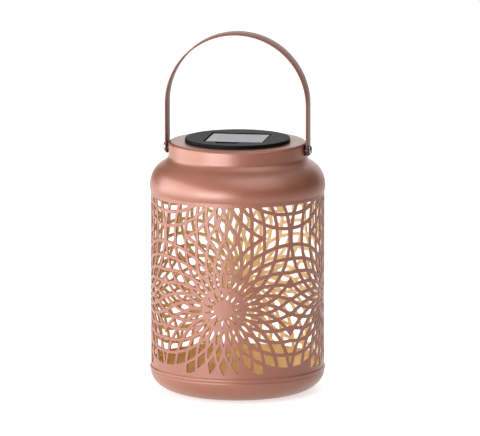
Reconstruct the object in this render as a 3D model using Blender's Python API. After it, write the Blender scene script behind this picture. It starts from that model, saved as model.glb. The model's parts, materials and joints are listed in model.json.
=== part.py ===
"""Solar garden lantern: a pierced round metal body, a strap handle and a push-in solar lid.

Units are metres, +Z is up and the origin is the centre of the base, on the surface it stands on.
The handle's pivots lie along X, and one flower of the pierced screen faces -Y.
"""

import math

import bmesh
import bpy
from mathutils import Matrix, Vector
from mathutils.geometry import delaunay_2d_cdt

# ---------------------------------------------------------------- driving dimensions
GAP = 0.0003                    # clearance kept between neighbouring pieces
SHEET = 0.0009                  # thickness of the pressed metal shells
ROUND_STEPS = 48                # facets around the body
SMALL_STEPS = 20                # facets around fasteners and other small round pieces

BODY_RADIUS = 0.0700            # widest radius, at the rolled seams
SCREEN_RADIUS = 0.0692          # outside of the pierced screen
SCREEN_SHEET = 0.0008
COLLAR_RADIUS = 0.0679          # outside of the collars that reach up and down inside the screen
COLLAR_DEPTH = 0.0024

BASE_SEAM_Z = 0.0194            # middle of the bottom seam
SEAM_HALF = 0.0016              # half the height of that seam's bead
SEAM_CORNER = 0.0007            # its slanted edges
SEAM_PROUD = 0.0006             # how far the seams stand out from the metal beside them
FOOT_RADIUS = 0.0440            # flat part of the base
LIP_Z = 0.1618                  # lower edge of the shoulder
LIP_ROUND = 0.0018              # height of that edge's rounding
SHOULDER_Z = 0.1658             # where the shoulder is widest
SHOULDER_REACH = 0.0164         # half axes of the ellipse that the shoulder follows above there
SHOULDER_RISE = 0.0200
SHOULDER_ARC = 65.5             # degrees of that ellipse before the metal hollows into the neck
HOLLOW_RISE = 0.0212            # the hollow's control point, above SHOULDER_Z
NECK_FOOT_RISE = 0.0247         # the neck's foot, above SHOULDER_Z
NECK_RADIUS = 0.0550
RIM_Z = 0.2013                  # flat top of the neck
RIM_EDGE = 0.0022               # rounding between neck and rim
MOUTH_RADIUS = 0.0396           # the round hole that the lid plugs into
MOUTH_HEM = 0.0040              # depth of the metal turned down around it

LID_RADIUS = 0.0419
LID_THICKNESS = 0.0025
LID_TOP_Z = RIM_Z + GAP + LID_THICKNESS
PLUG_RADIUS = 0.0380
PLUG_WALL = 0.0016
PLUG_SPLIT_Z = 0.1892           # joint between the cover's skirt and the lower housing
PLUG_FLOOR_Z = 0.1722           # underside of the lower housing
PLUG_FLOOR = 0.0016

PANEL_X, PANEL_Y = 0.0480, 0.0440   # pocket for the solar panel
PANEL_DEPTH = 0.0020
BACKING = 0.0007                # thickness of the panel's dark plate
CELL_X, CELL_Y, CELL = 0.0456, 0.0416, 0.0003
POCKET_FLOOR = 0.0016           # thickness of the cover under the pocket
LEAD_HOLE_Y = 0.0080            # where the panel's leads pass through it

PIVOT_Z = RIM_Z - 0.0058
STRAP_WIDTH = 0.0174
STRAP_SHEET = 0.0012
STRAP_OUTER = 0.0574            # half the handle's width, and the radius of its arch
LEG_HEIGHT = 0.0357             # from the pivot to where the arch starts
END_CENTRE_RISE = 0.0035        # the strap's round ends are centred this far above the pivot

RIVET_SHANK = 0.0020
RIVET_HOLE = 0.0023
RIVET_HEAD = 0.0040
HEAD_RISE = 0.0024              # height of the domed head
RIVET_TAIL_X = 0.0515           # inner side of the washer under the rivet's tail, from the axis
RIVET_TAIL = 0.0034
WASHER_X = 0.0533               # outer side of that washer

BATTERY_RADIUS = 0.00725        # AA cell
BATTERY_LENGTH = 0.0499
BATTERY_Y = -0.0115
BAY_X, BAY_Y = 0.0550, 0.0164   # battery opening in the lower housing
TRAY_X, TRAY_Y, TRAY_WALL = 0.0536, 0.0152, 0.0012
PLUS_END_X = 0.0259             # tip of the cell's raised end
BUTTON_RADIUS, BUTTON = 0.0027, 0.0012

BOARD_Z, BOARD = 0.1790, 0.0012     # underside and thickness of the circuit board
LED_Y = 0.0040
LED_RADIUS = 0.0025
LED_TIP_Z = 0.1687
SWITCH_XY = (0.0130, 0.0230)
SWITCH_TRAVEL = 0.0030
SCREW_CIRCLE = 0.0300
SCREW_ANGLES = (30, 150, 270)
SCREW_PILOT = 0.00145           # radius of the holes that take the screws
SCREW_TOP_Z = 0.1850
POST_RADIUS = 0.0030

FLOWER_Z = 0.0764               # height of the flowers' centres
TILES = 4                       # flowers around the screen
TILE_HALF_HEIGHT = 0.0560
PETALS = 16                     # cells in each ring of a flower
RING_STEP = 0.0213              # radial distance from one ring of cells to the next
BAR_WIDTH = 0.0044              # metal left between two cells
HOLES_LOW_Z, HOLES_HIGH_Z = 0.0275, 0.1588
SMALLEST_HOLE = 0.000030        # square metres; smaller cells stay closed


# ---------------------------------------------------------------- helpers
def material(name, colour, roughness, metallic=0.0, alpha=1.0):
    """Return a Principled material of that name, made on first use."""
    found = bpy.data.materials.get(name)
    if found:
        return found
    made = bpy.data.materials.new(name)
    made.use_nodes = True
    shader = made.node_tree.nodes["Principled BSDF"]
    shader.inputs["Base Color"].default_value = (*colour, 1.0)
    shader.inputs["Roughness"].default_value = roughness
    shader.inputs["Metallic"].default_value = metallic
    shader.inputs["Alpha"].default_value = alpha
    return made


def bronze_paint():
    return material("bronze_paint", (0.50, 0.23, 0.16), 0.42, 0.35)


def bare_steel():
    return material("bare_steel", (0.62, 0.61, 0.60), 0.28, 1.0)


def black_plastic():
    return material("black_plastic", (0.018, 0.018, 0.020), 0.38)


def add_object(name, bm, mat, location=(0, 0, 0), rotation=(0, 0, 0)):
    """Turn a bmesh into a named object whose origin is at location."""
    bmesh.ops.recalc_face_normals(bm, faces=bm.faces)
    mesh = bpy.data.meshes.new(name)
    bm.to_mesh(mesh)
    bm.free()
    mesh.shade_smooth()
    mesh.set_sharp_from_angle(angle=math.radians(35))
    mesh.materials.append(mat)
    obj = bpy.data.objects.new(name, mesh)
    obj.location = location
    obj.rotation_euler = rotation
    bpy.context.scene.collection.objects.link(obj)
    return obj


def lathe(name, outline, mat, steps=ROUND_STEPS, location=(0, 0, 0), rotation=(0, 0, 0)):
    """Turn an outline of (radius, height) points about Z.

    An outline that starts and ends on the axis stays open there; any other is a closed loop.
    """
    bm = bmesh.new()
    points = [bm.verts.new((radius, 0.0, height)) for radius, height in outline]
    pairs = list(zip(points, points[1:]))
    if outline[0][0] > 0:
        pairs.append((points[-1], points[0]))
    edges = [bm.edges.new(pair) for pair in pairs]
    bmesh.ops.spin(bm, geom=points + edges, axis=(0, 0, 1), cent=(0, 0, 0),
                   angle=2 * math.pi, steps=steps, use_merge=True)
    bmesh.ops.remove_doubles(bm, verts=bm.verts, dist=1e-6)
    return add_object(name, bm, mat, location, rotation)


def block(name, size, centre, mat, corner=0.0):
    """A box, with its four upright edges rounded when corner is given."""
    bm = bmesh.new()
    bmesh.ops.create_cube(bm, size=1.0, matrix=Matrix.Diagonal((*size, 1.0)))
    if corner:
        upright = [edge for edge in bm.edges
                   if abs(edge.verts[0].co.z - edge.verts[1].co.z) > size[2] / 2]
        bmesh.ops.bevel(bm, geom=upright, offset=corner, segments=3, profile=0.5,
                        affect="EDGES")
    return add_object(name, bm, mat, centre)


def rod(name, radius, length, centre, mat, rotation=(0, 0, 0), steps=SMALL_STEPS):
    """A plain cylinder, along Z before it is rotated."""
    bm = bmesh.new()
    bmesh.ops.create_cone(bm, cap_ends=True, segments=steps, radius1=radius,
                          radius2=radius, depth=length)
    return add_object(name, bm, mat, centre, rotation)


def combine(target, tool, operation):
    """Cut a tool out of the target, or join it on, with an EXACT Boolean."""
    modifier = target.modifiers.new(tool.name, "BOOLEAN")
    modifier.operation = operation
    modifier.object = tool
    modifier.solver = "EXACT"
    tool.hide_render = True
    tool.display_type = "WIRE"


def cut(target, tool):
    combine(target, tool, "DIFFERENCE")


def join(target, tool):
    combine(target, tool, "UNION")


def arc(centre, radii, start, end, steps):
    """Points of an elliptic arc in (radius, height), angles in degrees from the radial axis."""
    points = []
    for i in range(steps + 1):
        angle = math.radians(start + (end - start) * i / steps)
        points.append((centre[0] + radii[0] * math.cos(angle),
                       centre[1] + radii[1] * math.sin(angle)))
    return points


def bend(start, control, end, steps):
    """Points of a quadratic curve from start to end, both left out."""
    points = []
    for i in range(1, steps):
        t = i / steps
        points.append(tuple((1 - t) ** 2 * a + 2 * t * (1 - t) * b + t * t * c
                            for a, b, c in zip(start, control, end)))
    return points


# ---------------------------------------------------------------- lantern body
def base_cap():
    """Pressed bottom: flat foot, rounded side, rolled seam and a collar inside the screen."""
    seam_low, seam_high = BASE_SEAM_Z - SEAM_HALF, BASE_SEAM_Z + SEAM_HALF
    side = BODY_RADIUS - SEAM_PROUD
    overlap = 0.0010            # the collar starts this far below the bead's top
    inner = side - SHEET
    outline = [(0.0, 0.0)]
    outline += arc((FOOT_RADIUS, seam_low), (side - FOOT_RADIUS, seam_low), -90, 0, 7)
    outline += [(BODY_RADIUS, seam_low + SEAM_CORNER), (BODY_RADIUS, seam_high - SEAM_CORNER),
                (side, seam_high), (COLLAR_RADIUS, seam_high),
                (COLLAR_RADIUS, seam_high + COLLAR_DEPTH),
                (COLLAR_RADIUS - SHEET, seam_high + COLLAR_DEPTH),
                (COLLAR_RADIUS - SHEET, seam_high - overlap)]
    outline += arc((FOOT_RADIUS, seam_low), (inner - FOOT_RADIUS, seam_low - SHEET), 0, -90, 5)
    outline.append((0.0, SHEET))
    return lathe("base_cap", outline, bronze_paint())


def shoulder_wall(inset, steps):
    """The shoulder and neck in section, upwards, moved inwards by inset."""
    centre = (BODY_RADIUS - SHOULDER_REACH, SHOULDER_Z)
    radii = (SHOULDER_REACH - inset, SHOULDER_RISE - inset)
    side = arc(centre, radii, 0, SHOULDER_ARC, steps)
    foot = (NECK_RADIUS - inset, SHOULDER_Z + NECK_FOOT_RISE)
    corner = (foot[0], SHOULDER_Z + HOLLOW_RISE)
    return side + bend(side[-1], corner, foot, 4) + [foot]


def shoulder():
    """Pressed shoulder, neck and flat rim, with the mouth that takes the lid."""
    edge = RIM_EDGE
    neck_in = NECK_RADIUS - SHEET
    hem_low = RIM_Z - MOUTH_HEM
    outline = [(COLLAR_RADIUS, LIP_Z - COLLAR_DEPTH), (COLLAR_RADIUS, LIP_Z),
               (BODY_RADIUS - SEAM_PROUD, LIP_Z), (BODY_RADIUS - 0.0001, LIP_Z + LIP_ROUND)]
    outline += shoulder_wall(0.0, 7)
    outline += arc((NECK_RADIUS - edge, RIM_Z - edge), (edge, edge), 0, 90, 3)
    outline += [(MOUTH_RADIUS, RIM_Z), (MOUTH_RADIUS, hem_low),
                (MOUTH_RADIUS + SHEET, hem_low), (MOUTH_RADIUS + SHEET, RIM_Z - SHEET)]
    outline += arc((neck_in - edge, RIM_Z - SHEET - edge), (edge, edge), 90, 0, 2)
    outline += list(reversed(shoulder_wall(SHEET, 4)))
    outline += [(COLLAR_RADIUS - SHEET, LIP_Z + LIP_ROUND - SEAM_PROUD),
                (COLLAR_RADIUS - SHEET, LIP_Z - COLLAR_DEPTH)]
    part = lathe("shoulder", outline, bronze_paint())
    for side in (-1, 1):
        hole = rod(f"neck_hole_cutter_{side}", RIVET_HOLE, 0.008,
                   (side * NECK_RADIUS, 0, PIVOT_Z), bronze_paint(), (0, math.pi / 2, 0))
        cut(part, hole)
    return part


# ---------------------------------------------------------------- pierced screen
def inset_polygon(corners, distance):
    """Move each side of a convex anticlockwise polygon inwards by distance."""
    lines = []
    for a, b in zip(corners, corners[1:] + corners[:1]):
        along = (b - a).normalized()
        inward = Vector((-along.y, along.x))
        lines.append((a + inward * distance, along))
    moved = []
    for (p, u), (q, v) in zip(lines[-1:] + lines[:-1], lines):
        cross = u.x * v.y - u.y * v.x
        along_u = ((q.x - p.x) * v.y - (q.y - p.y) * v.x) / cross
        moved.append(p + u * along_u)
    return moved


def clip_polygon(corners, axis, limit, sign):
    """Keep the part of a convex polygon where sign * coordinate <= sign * limit."""
    kept = []
    for a, b in zip(corners, corners[1:] + corners[:1]):
        a_in = sign * (a[axis] - limit) <= 0
        b_in = sign * (b[axis] - limit) <= 0
        if a_in:
            kept.append(a)
        if a_in != b_in:
            kept.append(a.lerp(b, (limit - a[axis]) / (b[axis] - a[axis])))
    return kept


def polygon_area(corners):
    pairs = zip(corners, corners[1:] + corners[:1])
    return sum(a.x * b.y - a.y * b.x for a, b in pairs) / 2


def flower_cells():
    """Cell outlines of one flower, before clipping, around its own centre."""
    half_pitch = math.pi / PETALS
    stretch = TILE_HALF_HEIGHT / tile_half_width()
    cells = []
    for ring in range(1, 5):
        radius = ring * RING_STEP
        for petal in range(PETALS):
            angle = (2 * petal + (ring + 1) % 2) * half_pitch
            polar = [(radius - RING_STEP, angle), (radius, angle - half_pitch),
                     (radius + RING_STEP, angle), (radius, angle + half_pitch)]
            corners = [Vector((r * math.cos(a), r * math.sin(a) * stretch)) for r, a in polar]
            cells.append(inset_polygon(corners, BAR_WIDTH / 2))
    return cells


def tile_half_width():
    return math.pi * SCREEN_RADIUS / TILES


def panel_holes():
    """Hole outlines of one quarter of the screen: (distance around, height)."""
    side = tile_half_width() - BAR_WIDTH / 2
    mirror_z = FLOWER_Z + TILE_HALF_HEIGHT
    holes = []
    for cell in flower_cells():
        copies = [([Vector((p.x, FLOWER_Z + p.y)) for p in cell],
                   HOLES_LOW_Z, mirror_z - BAR_WIDTH / 2),
                  ([Vector((p.x, 2 * mirror_z - FLOWER_Z - p.y)) for p in reversed(cell)],
                   mirror_z + BAR_WIDTH / 2, HOLES_HIGH_Z)]
        for corners, low, high in copies:
            for axis, limit, sign in ((0, side, 1), (0, -side, -1), (1, high, 1), (1, low, -1)):
                corners = clip_polygon(corners, axis, limit, sign)
                if not corners:
                    break
            if corners and polygon_area(corners) > SMALLEST_HOLE:
                holes.append(corners)
    return holes


def frame_points(low_z, high_z):
    """The border of one quarter of the screen, anticlockwise, one point per facet of the body."""
    half = tile_half_width()
    columns = ROUND_STEPS // TILES
    rows = 16
    across = [-half + 2 * half * i / columns for i in range(columns + 1)]
    upward = [low_z + (high_z - low_z) * i / rows for i in range(rows + 1)]
    border = [(x, low_z) for x in across]
    border += [(half, z) for z in upward[1:-1]]
    border += [(x, high_z) for x in reversed(across)]
    border += [(-half, z) for z in reversed(upward[1:-1])]
    return [Vector(p) for p in border]


def screen():
    """Pierced round screen: a flat quarter panel, wrapped, repeated and thickened."""
    low_z = BASE_SEAM_Z + SEAM_HALF + GAP
    high_z = LIP_Z - GAP
    points = frame_points(low_z, high_z)
    faces = [list(range(len(points)))]
    for hole in panel_holes():
        faces.append(list(range(len(points), len(points) + len(hole))))
        points += hole
    in_mm = [p * 1000 for p in points]
    flat, _, triangles, _, _, sources = delaunay_2d_cdt(in_mm, [], faces, 0, 1e-5)
    bm = bmesh.new()
    for tile in range(TILES):
        middle = -math.pi / 2 + tile * 2 * math.pi / TILES
        ring = []
        for p in flat:
            angle = middle + p.x / 1000 / SCREEN_RADIUS
            ring.append(bm.verts.new((SCREEN_RADIUS * math.cos(angle),
                                      SCREEN_RADIUS * math.sin(angle), p.y / 1000)))
        for corners, source in zip(triangles, sources):
            if list(source) == [0]:
                bm.faces.new([ring[i] for i in corners])
    bmesh.ops.remove_doubles(bm, verts=bm.verts, dist=1e-5)
    loose = [v for v in bm.verts if not v.link_faces]
    bmesh.ops.delete(bm, geom=loose, context="VERTS")
    made = bmesh.ops.extrude_face_region(bm, geom=bm.faces[:], use_keep_orig=True)
    shrink = (SCREEN_RADIUS - SCREEN_SHEET) / SCREEN_RADIUS
    for item in made["geom"]:
        if isinstance(item, bmesh.types.BMVert):
            item.co.x *= shrink
            item.co.y *= shrink
    return add_object("lattice_screen", bm, bronze_paint())


# ---------------------------------------------------------------- handle
def strap_stations():
    """Section places along the right half of the strap: (x, height, outward x, outward z, half width)."""
    half = STRAP_WIDTH / 2
    mid = STRAP_OUTER - STRAP_SHEET / 2
    stations = []
    for degrees in (12, 30, 48, 66, 90):
        angle = math.radians(degrees)
        height = END_CENTRE_RISE - half * math.cos(angle)
        stations.append((mid, height, 1.0, 0.0, half * math.sin(angle)))
    for i in range(13):
        angle = math.pi / 2 * i / 12
        stations.append((mid * math.cos(angle), LEG_HEIGHT + mid * math.sin(angle),
                         math.cos(angle), math.sin(angle), half))
    return stations


def handle_strap():
    """Flat strap: two straight legs with round ends and a half-round arch."""
    right = strap_stations()
    left = [(-x, z, -nx, nz, w) for x, z, nx, nz, w in reversed(right[:-1])]
    bm = bmesh.new()
    rings = []
    for x, z, nx, nz, width in right + left:
        ring = []
        for out, y in ((-1, -1), (1, -1), (1, 1), (-1, 1)):
            offset = out * STRAP_SHEET / 2
            ring.append(bm.verts.new((x + nx * offset, y * width, z + nz * offset)))
        rings.append(ring)
    for low, high in zip(rings, rings[1:]):
        for i in range(4):
            j = (i + 1) % 4
            bm.faces.new((low[i], low[j], high[j], high[i]))
    bm.faces.new(rings[0])
    bm.faces.new(rings[-1])
    part = add_object("handle_strap", bm, bronze_paint(), (0, 0, PIVOT_Z))
    for side in (-1, 1):
        hole = rod(f"strap_hole_cutter_{side}", RIVET_HOLE, 0.006,
                   (side * STRAP_OUTER, 0, PIVOT_Z), bronze_paint(), (0, math.pi / 2, 0))
        cut(part, hole)
    return part


def ring_outline(inner, outer, low, high):
    return [(inner, low), (outer, low), (outer, high), (inner, high)]


def pivot_parts(side, label):
    """Rivet, spacer washer and inner washer of one handle pivot, turned about X."""
    outward = (0, side * math.pi / 2, 0)
    place = (0, 0, PIVOT_Z)
    head_base = STRAP_OUTER + GAP
    head = arc((0, head_base), (RIVET_HEAD, HEAD_RISE), 0, 90, 5)
    head[-1] = (0.0, head_base + HEAD_RISE)
    tail = RIVET_TAIL_X
    tail_end = tail - 0.0012
    rivet = [(0.0, tail_end), (RIVET_TAIL - 0.0008, tail_end), (RIVET_TAIL, tail - 0.0003),
             (RIVET_TAIL, tail), (RIVET_SHANK, tail), (RIVET_SHANK, head_base)] + head
    lathe(f"handle_rivet_{label}", rivet, bare_steel(), SMALL_STEPS, place, outward)
    spacer = ring_outline(RIVET_HOLE, 0.0045, NECK_RADIUS + GAP,
                          STRAP_OUTER - STRAP_SHEET - GAP)
    lathe(f"pivot_spacer_{label}", spacer, bare_steel(), SMALL_STEPS, place, outward)
    washer = ring_outline(RIVET_HOLE, 0.0042, tail + GAP, WASHER_X)
    lathe(f"inner_washer_{label}", washer, bare_steel(), SMALL_STEPS, place, outward)


# ---------------------------------------------------------------- solar lid
def screw_places():
    return [(SCREW_CIRCLE * math.cos(math.radians(a)), SCREW_CIRCLE * math.sin(math.radians(a)))
            for a in SCREW_ANGLES]


def lid_cover():
    """Black top: disc, panel pocket, skirt and three screw posts."""
    inside = PLUG_RADIUS - PLUG_WALL
    plate_low = LID_TOP_Z - PANEL_DEPTH - POCKET_FLOOR
    edge = 0.0005
    outline = [(0.0, plate_low), (inside, plate_low), (inside, PLUG_SPLIT_Z + GAP),
               (PLUG_RADIUS, PLUG_SPLIT_Z + GAP), (PLUG_RADIUS, RIM_Z + GAP),
               (LID_RADIUS, RIM_Z + GAP), (LID_RADIUS, LID_TOP_Z - edge),
               (LID_RADIUS - edge, LID_TOP_Z), (0.0, LID_TOP_Z)]
    part = lathe("lid_cover", outline, black_plastic())
    pocket = block("pocket_cutter", (PANEL_X, PANEL_Y, 2 * PANEL_DEPTH),
                   (0, 0, LID_TOP_Z), black_plastic())
    cut(part, pocket)
    lead_hole = rod("lead_hole_cutter", 0.0024, 4 * POCKET_FLOOR, (0, LEAD_HOLE_Y, plate_low),
                    black_plastic())
    cut(part, lead_hole)
    post_low = PLUG_FLOOR_Z + PLUG_FLOOR + GAP
    post_high = plate_low + 0.0008
    for number, (x, y) in enumerate(screw_places(), 1):
        post = rod(f"post_joiner_{number}", POST_RADIUS, post_high - post_low,
                   (x, y, (post_low + post_high) / 2), black_plastic())
        join(part, post)
        pilot = rod(f"pilot_cutter_{number}", SCREW_PILOT, 0.026,
                    (x, y, post_low), black_plastic(), steps=12)
        cut(part, pilot)
    return part


def lid_seal():
    """Rubber ring on the skirt, which holds the lid in the mouth."""
    inner, outer = PLUG_RADIUS + GAP, MOUTH_RADIUS - GAP
    low, high = RIM_Z - 0.0030, RIM_Z - 0.0014
    half = (high - low) / 2
    outline = [(inner, low), ((inner + outer) / 2, low), (outer, low + half),
               ((inner + outer) / 2, high), (inner, high)]
    return lathe("lid_seal", outline, material("seal_rubber", (0.03, 0.03, 0.03), 0.7), 40)


def solar_parts():
    """Dark backing plate and the cell on it, in the cover's pocket."""
    pocket_floor = LID_TOP_Z - PANEL_DEPTH
    block("panel_backing", (PANEL_X - 2 * GAP, PANEL_Y - 2 * GAP, BACKING),
          (0, 0, pocket_floor + GAP + BACKING / 2),
          material("panel_black", (0.012, 0.012, 0.014), 0.35))
    block("solar_cell", (CELL_X, CELL_Y, CELL),
          (0, 0, pocket_floor + 2 * GAP + BACKING + CELL / 2),
          material("solar_cell", (0.11, 0.11, 0.14), 0.15))


def lower_housing():
    """Black cup under the cover, with the battery bay, lamp hole and switch slot in its floor."""
    floor_top = PLUG_FLOOR_Z + PLUG_FLOOR
    foot = PLUG_RADIUS - 0.0012
    corner = 0.0020
    outline = [(0.0, PLUG_FLOOR_Z)]
    outline += arc((foot - corner, PLUG_FLOOR_Z + corner), (corner, corner), -90, 0, 3)
    outline += [(PLUG_RADIUS, PLUG_SPLIT_Z), (PLUG_RADIUS - PLUG_WALL, PLUG_SPLIT_Z),
                (foot - PLUG_WALL, floor_top), (0.0, floor_top)]
    part = lathe("lower_housing", outline, black_plastic(), 48)
    cut_height = 4 * PLUG_FLOOR
    middle = PLUG_FLOOR_Z + PLUG_FLOOR / 2
    cut(part, block("bay_cutter", (BAY_X, BAY_Y, cut_height), (0, BATTERY_Y, middle),
                    black_plastic()))
    cut(part, rod("led_hole_cutter", LED_RADIUS + 0.0005, cut_height, (0, LED_Y, middle),
                  black_plastic()))
    cut(part, block("slot_cutter", (0.0066, 0.0030, cut_height), (*SWITCH_XY, middle),
                    black_plastic()))
    for number, (x, y) in enumerate(screw_places(), 1):
        cut(part, rod(f"screw_hole_cutter_{number}", SCREW_PILOT, cut_height, (x, y, middle),
                      black_plastic(), steps=12))
    return part


def housing_screws():
    head_top = PLUG_FLOOR_Z - GAP
    head, shank = 0.0026, 0.0011
    outline = [(0.0, head_top - 0.0017), (0.0018, head_top - 0.0015), (head, head_top - 0.0006),
               (head, head_top), (shank, head_top), (shank, SCREW_TOP_Z), (0.0, SCREW_TOP_Z)]
    for number, (x, y) in enumerate(screw_places(), 1):
        lathe(f"housing_screw_{number}", outline, bare_steel(), 12, (x, y, 0))


def battery_parts():
    """AA cell, its tray, its two contacts and the door under it."""
    floor_top = PLUG_FLOOR_Z + PLUG_FLOOR
    centre_z = floor_top + GAP + BATTERY_RADIUS
    minus_end = PLUS_END_X - BATTERY_LENGTH
    shoulder_x = PLUS_END_X - BUTTON
    edge = 0.0006
    along_x = (0, math.pi / 2, 0)
    place = (0, BATTERY_Y, centre_z)
    shell = BATTERY_RADIUS
    outline = [(0.0, minus_end), (shell - edge, minus_end), (shell, minus_end + edge),
               (shell, shoulder_x - edge), (shell - edge, shoulder_x),
               (BUTTON_RADIUS, shoulder_x), (BUTTON_RADIUS, PLUS_END_X), (0.0, PLUS_END_X)]
    lathe("battery", outline, material("battery_wrap", (0.05, 0.22, 0.10), 0.35), 24,
          place, along_x)

    inner_high = centre_z + BATTERY_RADIUS + GAP
    tray_low, tray_high = floor_top + GAP, inner_high + TRAY_WALL
    outer = (TRAY_X + 2 * TRAY_WALL, TRAY_Y + 2 * TRAY_WALL, tray_high - tray_low)
    tray = block("battery_tray", outer, (0, BATTERY_Y, (tray_low + tray_high) / 2),
                 black_plastic())
    hollow_low = tray_low - 0.004
    cut(tray, block("tray_cutter", (TRAY_X, TRAY_Y, inner_high - hollow_low),
                    (0, BATTERY_Y, (hollow_low + inner_high) / 2), black_plastic()))

    plate = 0.0004
    block("battery_plus_contact", (plate, 0.0100, 0.0100),
          (PLUS_END_X + GAP + plate / 2, BATTERY_Y, centre_z), bare_steel())

    turns, coil_radius, wire = 2.0, 0.0034, 0.00028
    start, end = minus_end - GAP - wire, -TRAY_X / 2 + GAP + wire
    curve = bpy.data.curves.new("battery_spring", "CURVE")
    curve.dimensions = "3D"
    curve.bevel_depth = wire
    curve.bevel_resolution = 1
    curve.use_fill_caps = True
    coil = curve.splines.new("POLY")
    count = 24
    coil.points.add(count)
    for i in range(count + 1):
        angle = 2 * math.pi * turns * i / count
        coil.points[i].co = (start + (end - start) * i / count, coil_radius * math.cos(angle),
                             coil_radius * math.sin(angle), 1.0)
    curve.materials.append(bare_steel())
    spring = bpy.data.objects.new("battery_spring", curve)
    spring.location = place
    bpy.context.scene.collection.objects.link(spring)

    door = block("battery_door", (BAY_X - 2 * GAP, BAY_Y - 2 * GAP, PLUG_FLOOR),
                 (0, BATTERY_Y, PLUG_FLOOR_Z + PLUG_FLOOR / 2), black_plastic(), 0.0010)
    for number in range(3):
        x = 0.0180 + 0.0022 * number
        groove = block(f"door_groove_cutter_{number}", (0.0009, 0.0090, 0.0010),
                       (x, BATTERY_Y, PLUG_FLOOR_Z), black_plastic())
        cut(door, groove)


def electronics():
    """Circuit board, lamp, lamp collar, slide switch and the panel's two leads."""
    block("circuit_board", (0.0260, 0.0180, BOARD), (0, 0.0100, BOARD_Z + BOARD / 2),
          material("board_green", (0.02, 0.16, 0.07), 0.4))

    top = BOARD_Z - GAP
    flange, flange_low = LED_RADIUS + 0.0004, top - 0.0010
    dome = arc((0, LED_TIP_Z + LED_RADIUS), (LED_RADIUS, LED_RADIUS), -90, 0, 4)
    dome[0] = (0.0, LED_TIP_Z)
    outline = dome + [(LED_RADIUS, flange_low), (flange, flange_low), (flange, top),
                      (0.0, top)]
    lathe("led_lamp", outline, material("led_epoxy", (0.85, 0.85, 0.80), 0.08), SMALL_STEPS,
          (0, LED_Y, 0))
    collar_high = PLUG_FLOOR_Z - GAP
    lathe("led_collar", ring_outline(0.0032, 0.0050, collar_high - 0.0014, collar_high),
          black_plastic(), 24, (0, LED_Y, 0))

    floor_top = PLUG_FLOOR_Z + PLUG_FLOOR
    body = 0.0044
    block("switch_body", (0.0086, 0.0043, body), (*SWITCH_XY, floor_top + GAP + body / 2),
          bare_steel())
    knob_low = PLUG_FLOOR_Z - 0.0020
    block("switch_knob", (0.0030, 0.0024, floor_top - knob_low),
          (SWITCH_XY[0] - SWITCH_TRAVEL / 2, SWITCH_XY[1], (floor_top + knob_low) / 2),
          black_plastic())

    lead = 0.0006
    high = LID_TOP_Z - PANEL_DEPTH - 0.0002
    low = BOARD_Z + BOARD + GAP
    colours = {"red": (0.45, 0.02, 0.02), "black": (0.02, 0.02, 0.02)}
    for side, (colour, rgb) in zip((-1, 1), colours.items()):
        curve = bpy.data.curves.new(f"panel_lead_{colour}", "CURVE")
        curve.dimensions = "3D"
        curve.bevel_depth = lead
        curve.bevel_resolution = 1
        curve.use_fill_caps = True
        wire = curve.splines.new("POLY")
        count = 10
        wire.points.add(count)
        for i in range(count + 1):
            t = i / count
            ease = t * t * (3 - 2 * t)
            wire.points[i].co = (side * (0.0011 + 0.0050 * ease), LEAD_HOLE_Y + 0.0040 * ease,
                                 high + (low - high) * t, 1.0)
        curve.materials.append(material(f"lead_{colour}", rgb, 0.5))
        obj = bpy.data.objects.new(f"panel_lead_{colour}", curve)
        bpy.context.scene.collection.objects.link(obj)


# ---------------------------------------------------------------- assembly
def main():
    for obj in list(bpy.data.objects):
        bpy.data.objects.remove(obj, do_unlink=True)
    base_cap()
    screen()
    shoulder()
    handle_strap()
    pivot_parts(-1, "left")
    pivot_parts(1, "right")
    lid_cover()
    lid_seal()
    solar_parts()
    lower_housing()
    housing_screws()
    battery_parts()
    electronics()


main()
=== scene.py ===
"""Solar garden lantern: the looks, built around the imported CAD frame.

Lengths are metres in the part's own frame: +Z up, origin on the surface that it stands on, the
handle's pivots along X, one flower of the pierced screen facing -Y. Places come from the CAD boxes.
"""

import json
import math

import bmesh
import bpy
from mathutils import Matrix, Vector
from mathutils.geometry import delaunay_2d_cdt
from mathutils.kdtree import KDTree


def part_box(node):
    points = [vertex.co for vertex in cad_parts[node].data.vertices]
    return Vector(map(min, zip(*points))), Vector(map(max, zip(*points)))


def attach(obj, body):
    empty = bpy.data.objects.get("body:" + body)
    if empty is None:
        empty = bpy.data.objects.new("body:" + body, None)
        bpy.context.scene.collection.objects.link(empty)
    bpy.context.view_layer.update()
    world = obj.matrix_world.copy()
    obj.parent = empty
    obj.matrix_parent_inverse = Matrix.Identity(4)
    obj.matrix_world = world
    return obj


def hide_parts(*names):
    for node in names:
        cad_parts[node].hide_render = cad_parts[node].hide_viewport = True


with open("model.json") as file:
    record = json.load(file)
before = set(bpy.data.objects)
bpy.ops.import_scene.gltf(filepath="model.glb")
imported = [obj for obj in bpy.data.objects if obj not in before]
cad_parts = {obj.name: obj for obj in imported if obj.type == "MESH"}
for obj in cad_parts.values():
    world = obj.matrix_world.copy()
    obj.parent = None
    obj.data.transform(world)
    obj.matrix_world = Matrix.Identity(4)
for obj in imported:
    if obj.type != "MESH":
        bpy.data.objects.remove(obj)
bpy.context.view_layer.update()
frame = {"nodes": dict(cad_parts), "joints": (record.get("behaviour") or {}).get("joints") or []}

# ---------- sizes read from the frame
MM = 0.001
GAP = 0.3 * MM  # clearance between neighbouring pieces
SHOULDER_LOW, SHOULDER_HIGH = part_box("shoulder")
BODY_RADIUS, RIM_Z = SHOULDER_HIGH.x, SHOULDER_HIGH.z
COLLAR_LOW_Z = SHOULDER_LOW.z
SCREEN_LOW, SCREEN_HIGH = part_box("lattice_screen")
SCREEN_RADIUS = SCREEN_HIGH.y
BASE_TOP_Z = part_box("base_cap")[1].z
LID_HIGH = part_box("lid_cover")[1]
LID_RADIUS, LID_TOP_Z = LID_HIGH.x, LID_HIGH.z
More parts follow.
